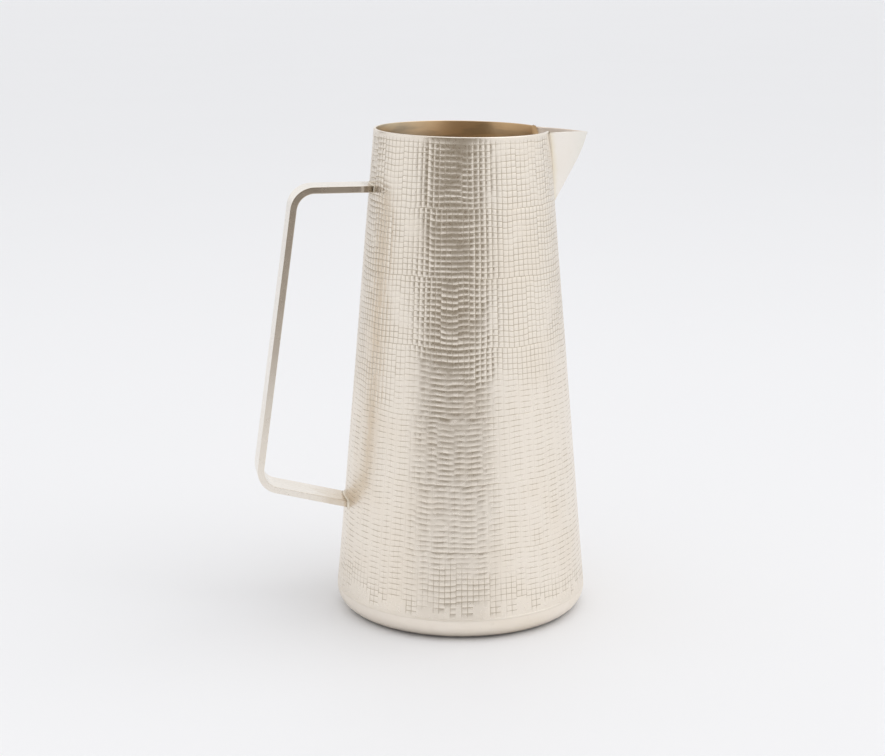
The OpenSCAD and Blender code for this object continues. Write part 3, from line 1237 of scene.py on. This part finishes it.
@metal
def strap_silver(n, place):
    """The strap's silver: side faces darkened towards the top with painted shade, and heat stained
    where it is soldered.
    """
    colour, rough, normal = plain_silver(
        n, place, (0, 0, 0), (60, 900, 60), tint=(1.01, 1.03, 1.06, 1), rough=(0.22, 0.30),
        stain=0.12)
    # Painted shade: the strap's side faces are darkened, more towards the top.
    facing = n.parts(n.add("ShaderNodeTexCoord").outputs["Normal"])
    edge = n.step(n.math("ABSOLUTE", facing[1]), 0.55, 0.85)
    side_shade = n.times(edge, n.step(n.parts(place)[2], 60 * MM, 168 * MM))
    colour = n.tinted(colour, n.blend(side_shade, WHITE, (0.55, 0.51, 0.465, 1)))
    # Heat stains, each as a height on the wall, its radius and its strength.
    for z, radius, share in ((STRAP_HIGH.z - 2 * MM, 9 * MM, 0.24),
                             (STRAP_LOW.z + 4 * MM, 21 * MM, 0.6)):
        away = n.add("ShaderNodeVectorMath", place, (-wall_radius(z), 0, z),
                     sets={"operation": "DISTANCE"}).outputs["Value"]
        ragged = n.scaled(n.noise(160.0, 4.0, place), radius * 0.9,
                          n.minus(away, radius * 0.45))
        near = n.step(ragged, radius, radius * 0.15, 0.0, share)
        colour = n.blend(near, colour, finish().heat)
    return colour, rough, normal


@metal
def run_solder(n, place):
    """Solder: yellower than the silver, pitted and a little matt."""
    pits = n.noise(700.0, 4.0, place, 0.65)
    flow = n.noise(180.0, 3.0, place)
    colour = n.blend(n.step(flow, 0.35, 0.7, 0.0, 0.6), finish().solder, finish().heat)
    return (colour, n.step(pits, 0.3, 0.7, 0.30, 0.50),
            n.bump(n.plus(flow, n.times(pits, 0.4)), 0.5, 0.15 * MM))


@metal
def dressed_seam(n, place):
    """Solder dressed flush with the sheet in the base seam and the upright seam."""
    flow = n.noise(240.0, 4.0, place)
    colour = n.blend(n.step(flow, 0.35, 0.7, 0.0, 0.3), finish().silver, finish().solder)
    return colour, n.step(flow, 0.3, 0.7, 0.30, 0.42), n.bump(flow, 0.3, 0.08 * MM)


# ---------------------------------------------------------------- floor, light and camera


class PITCHER_OT_stage(bpy.types.Operator):
    """Lay the pale floor, set the soft lights and place the camera"""
    bl_idname = "pitcher.stage"
    bl_label = "Floor, Light and Camera"

    def execute(self, context):
        s = stage()
        scene = context.scene
        scene.view_settings.view_transform = "Standard"

        ground = bpy.data.materials.new("pale floor")
        ground.use_nodes = True
        n = Nodes(ground.node_tree)
        shader = ground.node_tree.nodes["Principled BSDF"]
        place = n.add("ShaderNodeTexCoord").outputs["Object"]
        n.feed(shader.inputs["Base Color"], n.blend(
            n.step(n.noise(3.0, 2.0, place), 0.3, 0.7, 0.0, 0.02), s.floor, (0.7, 0.7, 0.7, 1)))
        shader.inputs["Roughness"].default_value = 0.55
        shader.inputs["Specular IOR Level"].default_value = 0.25

        def sheet(bm):
            bm.faces.new([bm.verts.new((x, y, 0)) for x, y in
                          ((-30, -30), (30, -30), (30, 60), (-30, 60))])
        floor = bpy.data.objects.new("floor", mesh_of("floor", sheet, smooth=False))
        floor.data.materials.append(ground)
        scene.collection.objects.link(floor)
        if floor.data.polygons[0].normal.z < 0:
            floor.data.flip_normals()

        black = bpy.data.materials.new("dark card")
        black.use_nodes = True
        paint = black.node_tree.nodes["Principled BSDF"]
        paint.inputs["Base Color"].default_value = (0.0, 0.0, 0.0, 1)
        paint.inputs["Specular IOR Level"].default_value = 0.0
        paint.inputs["Emission Color"].default_value = (0.21, 0.175, 0.13, 1)
        paint.inputs["Emission Strength"].default_value = 1.0

        def card(name, turn, away, low, high, spread):
            """An upright dark card that only reflections see, at a turn from the front."""
            def build(bm):
                steps = 12
                rows = []
                for k in range(steps + 1):
                    a = turn + spread * (k / steps - 0.5)
                    x, y = away * math.sin(a), -away * math.cos(a)
                    rows.append((bm.verts.new((x, y, low)), bm.verts.new((x, y, high))))
                for (a, b), (c, d) in zip(rows, rows[1:]):
                    bm.faces.new((a, c, d, b))
            piece = bpy.data.objects.new(name, mesh_of(name, build))
            piece.data.materials.append(black)
            piece.visible_camera = piece.visible_shadow = piece.visible_diffuse = False
            scene.collection.objects.link(piece)
            return piece

        side = -s.turn
        cards = [card("front card", side + math.radians(-8), 1.1, 0.035, 0.80, math.radians(70)),
                 card("left card", side + math.radians(-128), 1.6, 0.22, 0.60, math.radians(20))]

        world = bpy.data.worlds.new("soft room")
        world.use_nodes = True
        scene.world = world
        n = Nodes(world.node_tree)
        back = world.node_tree.nodes["Background"]
        way = n.add("ShaderNodeTexCoord").outputs["Generated"]
        rise = n.parts(way)[2]
        n.feed(back.inputs["Color"], n.blend(n.step(rise, -0.1, 0.8), (0.95, 0.952, 0.96, 1),
                                             (0.80, 0.805, 0.82, 1)))
        back.inputs["Strength"].default_value = 1.03

        sun = bpy.data.lights.new("key", "SUN")
        sun.energy, sun.angle, sun.color = 0.42, math.radians(60), (1.0, 0.99, 0.97)
        key = bpy.data.objects.new("key", sun)
        key.rotation_euler = Vector((0.85, -0.25, 1.0)).to_track_quat("Z", "Y").to_euler()
        scene.collection.objects.link(key)

        panel = bpy.data.lights.new("overhead", "AREA")
        panel.shape, panel.size, panel.size_y = "RECTANGLE", 2.2, 1.6
        panel.energy, panel.color = 5.2, (1.0, 0.985, 0.965)
        overhead = bpy.data.objects.new("overhead", panel)
        overhead.location = (0.2, -0.3, 1.7)
        scene.collection.objects.link(overhead)

        lens = bpy.data.cameras.new("camera")
        lens.lens, lens.sensor_width = s.lens, 36.0
        lens.clip_end = 200
        camera = bpy.data.objects.new("camera", lens)
        camera.location = (-s.distance * math.sin(s.turn), -s.distance * math.cos(s.turn), s.height)
        camera.rotation_euler = (math.pi / 2 - s.tilt, 0, s.pan - s.turn)
        scene.collection.objects.link(camera)
        scene.camera = camera
        return {"FINISHED"}


# ---------------------------------------------------------------- panel and running order


OPERATORS = (PITCHER_OT_wall, PITCHER_OT_base, PITCHER_OT_spout, PITCHER_OT_handle,
             PITCHER_OT_solder, PITCHER_OT_stage)
SETTINGS = {"pitcher_form": PitcherForm, "pitcher_chasing": PitcherChasing,
            "pitcher_finish": PitcherFinish, "pitcher_stage": PitcherStage}


class VIEW3D_PT_pitcher(bpy.types.Panel):
    """Steps and settings of the pitcher"""
    bl_label = "Silver Water Pitcher"
    bl_space_type = "VIEW_3D"
    bl_region_type = "UI"
    bl_category = "Pitcher"

    def draw(self, context):
        for operator in OPERATORS:
            self.layout.operator(operator.bl_idname)
        for name in SETTINGS:
            box = self.layout.box()
            group = getattr(context.scene, name)
            for key in group.__annotations__:
                box.prop(group, key)


def register():
    for group in SETTINGS.values():
        bpy.utils.register_class(group)
    for name, group in SETTINGS.items():
        setattr(bpy.types.Scene, name, bpy.props.PointerProperty(type=group))
    for operator in OPERATORS:
        bpy.utils.register_class(operator)
    bpy.utils.register_class(VIEW3D_PT_pitcher)


def unregister():
    bpy.utils.unregister_class(VIEW3D_PT_pitcher)
    for operator in reversed(OPERATORS):
        bpy.utils.unregister_class(operator)
    for name in SETTINGS:
        delattr(bpy.types.Scene, name)
    for group in SETTINGS.values():
        bpy.utils.unregister_class(group)


def main():
    register()
    bpy.ops.pitcher.wall()
    bpy.ops.pitcher.base()
    bpy.ops.pitcher.spout()
    bpy.ops.pitcher.handle()
    bpy.ops.pitcher.solder()
    bpy.ops.pitcher.stage()


if __name__ == "__main__":
    main()
